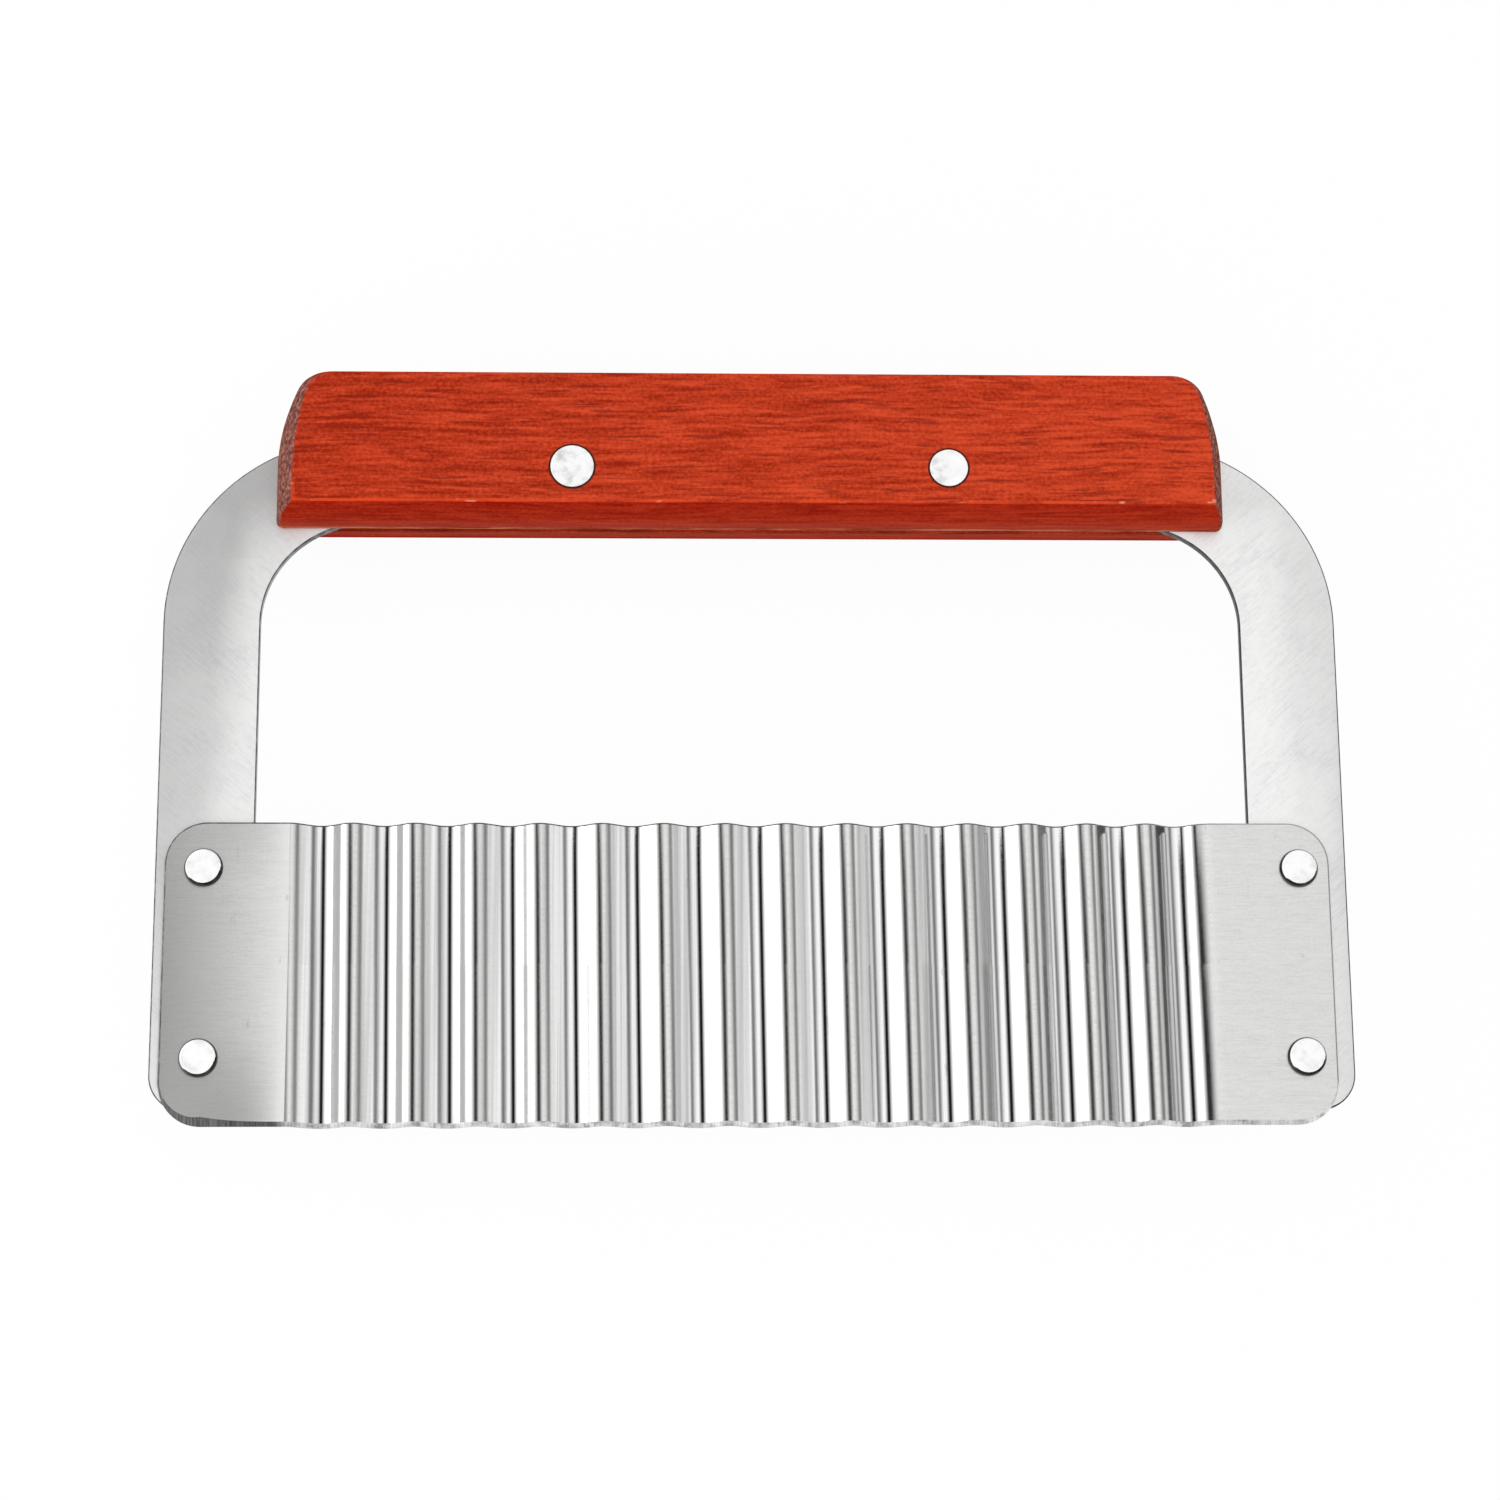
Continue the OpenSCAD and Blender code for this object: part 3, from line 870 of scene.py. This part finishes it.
def cut_slot(bm):
    """Opens the slot for the steel bar through the handle's underside and both ends."""
    floor_z, roof_z = arch_low.z - slot_clear, arch_high.z + slot_clear
    end_y = arch_high.y + slot_clear
    for z in (floor_z, roof_z):
        cut_at(bm, everything(bm), (0, 0, z), (0, 0, 1))
    band = [f for f in bm.faces if floor_z < f.calc_center_median().z < roof_z]
    edges = list({e for f in band for e in f.edges})
    verts = list({v for f in band for v in f.verts})
    cut_at(bm, verts + edges + band, (0, end_y, 0), (0, 1, 0))
    mouth = [f for f in bm.faces
             if floor_z < f.calc_center_median().z < roof_z and f.calc_center_median().y < end_y]
    bmesh.ops.delete(bm, geom=mouth, context="FACES")
    rim = [e for e in bm.edges if e.is_boundary]
    ends = [v for v in {v for e in rim for v in e.verts} if abs(v.co.y - end_y) < same_place]
    for z in (floor_z, roof_z):
        pair = [v for v in ends if abs(v.co.z - z) < same_place]
        span = bmesh.ops.contextual_create(bm, geom=pair)["edges"]
        side = [e for e in rim if all(abs(v.co.z - z) < same_place for v in e.verts)]
        bmesh.ops.contextual_create(bm, geom=side + span)
    spans = [e for e in bm.edges if all(v in ends for v in e.verts)]
    bmesh.ops.contextual_create(bm, geom=spans)
    bmesh.ops.recalc_face_normals(bm, faces=bm.faces[:])


def turned_rivet(bm, profile, middle):
    """Spins a half profile of (radius, height) points round a rivet's axis."""
    tip = draw_from(bm, (middle.x + profile[0][0], middle.y, profile[0][1]))
    for radius, height in profile[1:]:
        tip = draw_to(bm, tip, (middle.x + radius, middle.y, height))
    bmesh.ops.spin(bm, geom=bm.verts[:] + bm.edges[:], cent=(middle.x, middle.y, 0), axis=(0, 0, 1),
                   angle=2 * math.pi, steps=spin_steps, use_merge=True)
    bmesh.ops.remove_doubles(bm, verts=bm.verts[:], dist=weld_gap)
    bmesh.ops.recalc_face_normals(bm, faces=bm.faces[:])


def rounded(profile_r, edge_z, soft, rise):
    """Quarter round of the rim of a rivet's end, as (radius, height) points."""
    turns = [math.pi / 2 * step / round_steps for step in range(round_steps + 1)]
    return [(profile_r - soft + soft * math.cos(turn), edge_z + rise * soft * math.sin(turn))
            for turn in turns]


def dent(bm, heights, seed):
    """Hammer marks on the faces at the given heights."""
    for vert in bm.verts:
        if any(abs(vert.co.z - z) < dent_reach for z in heights):
            push = noise.noise(Vector((vert.co.x, vert.co.y, seed * MM)) * dent_scale)
            vert.co.z += dent_depth * (push - 1) * (1 if vert.co.z > arch_high.z else -1) / 2


def blade_rivet(node, seed, hammered, side):
    """Raised head in front of the blade, shank, and formed end behind the leg."""
    low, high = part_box(node)
    middle = (low + high) / 2
    head_r, end_r, shank_r = (high.x - low.x) / 2, blade_end_r, blade_shank_r
    seat, back = blade_high.z, arch_low.z
    shares = [step / head_rim_steps for step in range(head_rim_steps + 1)]
    rim = [(head_r - head_rim_w * (1 - share), high.z - head_rim_h * share ** head_rim_curve)
           for share in shares]
    profile = [(0.0, high.z)] + [(head_r * ring, high.z) for ring in head_rings]
    profile += rim + [(head_r, seat), (shank_r, seat), (shank_r, back), (end_r, back)]
    profile += rounded(end_r, low.z + blade_end_h, blade_end_soft, -1.0)
    profile += [(end_r * head_end_ring, low.z), (0.0, low.z)]
    bm = bmesh.new()
    turned_rivet(bm, profile, middle)
    dent(bm, (high.z, low.z), seed)
    for face in bm.faces:
        face.smooth = True
        # The sides take painted shade; on the side turned to head_shade it reaches nearer the top, for a
        # wider dark crescent.
        shaded = face.normal.dot(head_shade) > shade_lean
        face.material_index = 0 if abs(face.normal.z) > (shaded_head_lean if shaded else head_lean) else 1
    return finish_piece(node + "_head", bm, [hammered, side], node, sharp_degrees=50)


def handle_rivet(node, seed, hammered, stain):
    """Two flush ends, flared in the wood, on one shank."""
    low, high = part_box(node)
    middle = (low + high) / 2
    end_r, shank_r = (high.x - low.x) / 2, handle_shank_r
    front, back = high.z - handle_end_h, low.z + handle_end_h
    inner, outer = handle_end_rings
    profile = [(0.0, high.z), (end_r * inner, high.z), (end_r * outer, high.z - handle_end_crown)]
    profile += reversed(rounded(end_r, high.z - handle_end_drop, handle_end_soft, 1.0))
    profile += [(end_r, front), (shank_r, front - handle_cone_h)]
    profile += [(shank_r, back + handle_cone_h), (end_r, back)]
    profile += rounded(end_r, low.z + handle_back_soft, handle_back_soft, -1.0)
    profile += [(end_r * handle_back_ring, low.z), (0.0, low.z)]
    bm = bmesh.new()
    turned_rivet(bm, profile, middle)
    dent(bm, (high.z, low.z), seed)
    for face in bm.faces:
        face.smooth = True
        face.material_index = 0 if abs(face.normal.z) > handle_end_lean else 1
    return finish_piece(node + "_ends", bm, [hammered, stain], node, sharp_degrees=50)


# Studio
def two_shaders(name, tone, other_kind):
    """A matt grey shader and another one, with the node that mixes them."""
    finish = bpy.data.materials.new(name)
    finish.use_nodes = True
    tree = finish.node_tree
    tree.nodes.clear()
    out = add_node(tree, "ShaderNodeOutputMaterial")
    matt = add_node(tree, "ShaderNodeBsdfDiffuse")
    matt.inputs["Color"].default_value = (*grey(tone), 1)
    other = add_node(tree, other_kind)
    mix = add_node(tree, "ShaderNodeMixShader")
    plug(tree, mix.outputs[0], out.inputs["Surface"])
    return finish, tree, matt, other, mix


def seen_ray(tree):
    rays = add_node(tree, "ShaderNodeLightPath")
    mirror = sums(tree, "MAXIMUM", rays.outputs["Is Glossy Ray"], rays.outputs["Is Transmission Ray"])
    return sums(tree, "MAXIMUM", rays.outputs["Is Camera Ray"], mirror)


def floor_finish():
    """White table, which the camera and the metal see evenly lit."""
    finish, tree, matt, glow, mix = two_shaders("white_table", 0.9, "ShaderNodeEmission")
    glow.inputs["Color"].default_value = (1, 1, 1, 1)
    glow.inputs["Strength"].default_value = 1.0
    plug(tree, times(tree, seen_ray(tree), 0.95), mix.inputs[0])
    plug(tree, matt.outputs[0], mix.inputs[1])
    plug(tree, glow.outputs[0], mix.inputs[2])
    return finish


def white_room(strength):
    world = bpy.data.worlds.new("white_room")
    bpy.context.scene.world = world
    world.use_nodes = True
    tree = world.node_tree
    sky = tree.nodes["Background"]
    sky.inputs["Color"].default_value = (1, 1, 1, 1)
    plug(tree, spread(tree, seen_ray(tree), 0.0, 1.0, strength, 1.0), sky.inputs["Strength"])


def card_finish(name, tone, near_fade, far_fade):
    """Matt card whose two long edges fade out, each over its own share of the width."""
    finish, tree, matt, clear, mix = two_shaders(name, tone, "ShaderNodeBsdfTransparent")
    across = split(tree, add_node(tree, "ShaderNodeTexCoord").outputs["UV"])["X"]
    near = spread(tree, across, 0.0, near_fade)
    far = spread(tree, across, 1.0, 1.0 - far_fade)
    plug(tree, sums(tree, "MINIMUM", near, far), mix.inputs[0])
    plug(tree, clear.outputs[0], mix.inputs[1])
    plug(tree, matt.outputs[0], mix.inputs[2])
    return finish


def card(name, tone, near_edge, far_edge, length, near_fade, far_fade):
    """A long flat card over the table, which only the metal's reflections show."""
    bm = bmesh.new()
    lay = bm.loops.layers.uv.new("across_card")
    bmesh.ops.create_grid(bm, x_segments=1, y_segments=1, size=0.5, calc_uvs=True)
    near, far = Vector(near_edge), Vector(far_edge)
    run = Vector(length)
    for face in bm.faces:
        for loop in face.loops:
            loop[lay].uv = (loop.vert.co.x + 0.5, loop.vert.co.y + 0.5)
    for vert in bm.verts:
        vert.co = near.lerp(far, vert.co.x + 0.5) + run * (vert.co.y + 0.5)
    made = mesh_object(name, bm, [card_finish(name, tone, near_fade, far_fade)])
    made.visible_camera = False
    made.visible_diffuse = False
    made.visible_shadow = False


def soft_box(name, place, aim, width, height, radiance):
    lamp = bpy.data.lights.new(name, "AREA")
    lamp.shape = "RECTANGLE"
    lamp.size, lamp.size_y = width, height
    lamp.energy = radiance * math.pi * width * height
    made = bpy.data.objects.new(name, lamp)
    made.location = place
    made.rotation_euler = (Vector(aim) - Vector(place)).to_track_quat("-Z", "Y").to_euler()
    made.visible_camera = False
    bpy.context.scene.collection.objects.link(made)


def studio():
    """White table and room, a soft box on the left, and cards that the steel mirrors; places in metres."""
    bm = bmesh.new()
    bmesh.ops.create_grid(bm, x_segments=1, y_segments=1, size=table_half)
    bmesh.ops.translate(bm, verts=bm.verts[:], vec=(0, 0, handle_low.z - table_gap))
    table = mesh_object("table", bm, [floor_finish()])
    white_room(1.0)
    soft_box("left_soft_box", (-0.40, 0.05, 0.13), (0, 0.05, 0.13), 1.0, 0.24, 1.04)
    card("left_dark_card", 0.01, (-0.010, -0.055, 0.330), (-0.252, -0.055, 0.190), (0, 0.105, 0), 0.46, 0.30)
    card("left_back_card", 0.05, (-0.010, 0.10, 0.330), (-0.252, 0.10, 0.190), (0, 0.5, 0), 0.46, 0.30)
    card("left_gap_card", 0.03, (-0.135, 0.045, 0.262), (-0.252, 0.045, 0.190), (0, 0.06, 0), 0.30, 0.50)
    card("left_low_card", 0.45, (-0.38, -0.6, 0.002), (-0.38, -0.6, 0.115), (0, 1.4, 0), 0.05, 0.16)
    card("right_grey_card", 0.3, (0.195, -0.8, 0.5), (1.034, -0.8, 0.5), (0, 2.0, 0), 0.4, 0.4)
    card("right_side_card", 0.45, (0.55, -0.6, 0.002), (0.55, -0.6, 0.28), (0, 1.4, 0), 0.05, 0.95)
    card("right_low_card", 0.07, (0.5, -0.6, 0.002), (0.5, -0.6, 0.118), (0, 1.4, 0), 0.05, 0.25)
    card("front_dark_card", 0.05, (-0.3, -0.6, 0.002), (-0.3, -0.6, 0.24), (0.6, 0, 0), 0.05, 0.30)


def photo_camera():
    ahead = (camera_aim - camera_place).normalized()
    right = ahead.cross(Vector((0, 1, 0))).normalized()
    above = right.cross(ahead)
    turn = Matrix((right, above, -ahead)).transposed().to_4x4()
    roll = Matrix.Rotation(math.radians(camera_roll), 4, "Z")
    lens = bpy.data.cameras.new("photo_camera")
    lens.lens, lens.sensor_width = 85.0, 36.0
    lens.clip_start, lens.clip_end = 0.01, 50.0
    made = bpy.data.objects.new("photo_camera", lens)
    made.matrix_world = Matrix.Translation(camera_place) @ turn @ roll
    bpy.context.scene.collection.objects.link(made)
    bpy.context.scene.camera = made


photo_camera()
studio()

head_finish = hammered_aluminium("hammered_rivet_head", 0.78, 0.95)
end_finish = hammered_aluminium("hammered_rivet_end", 0.60, 0.91)
painted_side_finish, ring_finish = painted_shade_rivet_side(), ring_stain()
# Each sheared edge's figure is its painted tone at the right end: painted shade on the arch, painted light
# on the blade.
steel_arch(slanted_brush_steel(), sheared_steel("sheared_arch_edge", 0.06))
crinkle_blade(polished_wave_steel(), sheared_steel("sheared_blade_edge", 0.60), ground_steel())
wooden_handle(red_wood("red_stained_wood", False), red_wood("worn_wood_edge", True), bare_wood())
for seed, node in enumerate(blade_rivet_nodes):
    blade_rivet(node, seed, head_finish, painted_side_finish)
for seed, node in enumerate(handle_rivet_nodes):
    handle_rivet(node, seed + handle_seed, end_finish, ring_finish)

bpy.context.scene.view_settings.view_transform = "Standard"
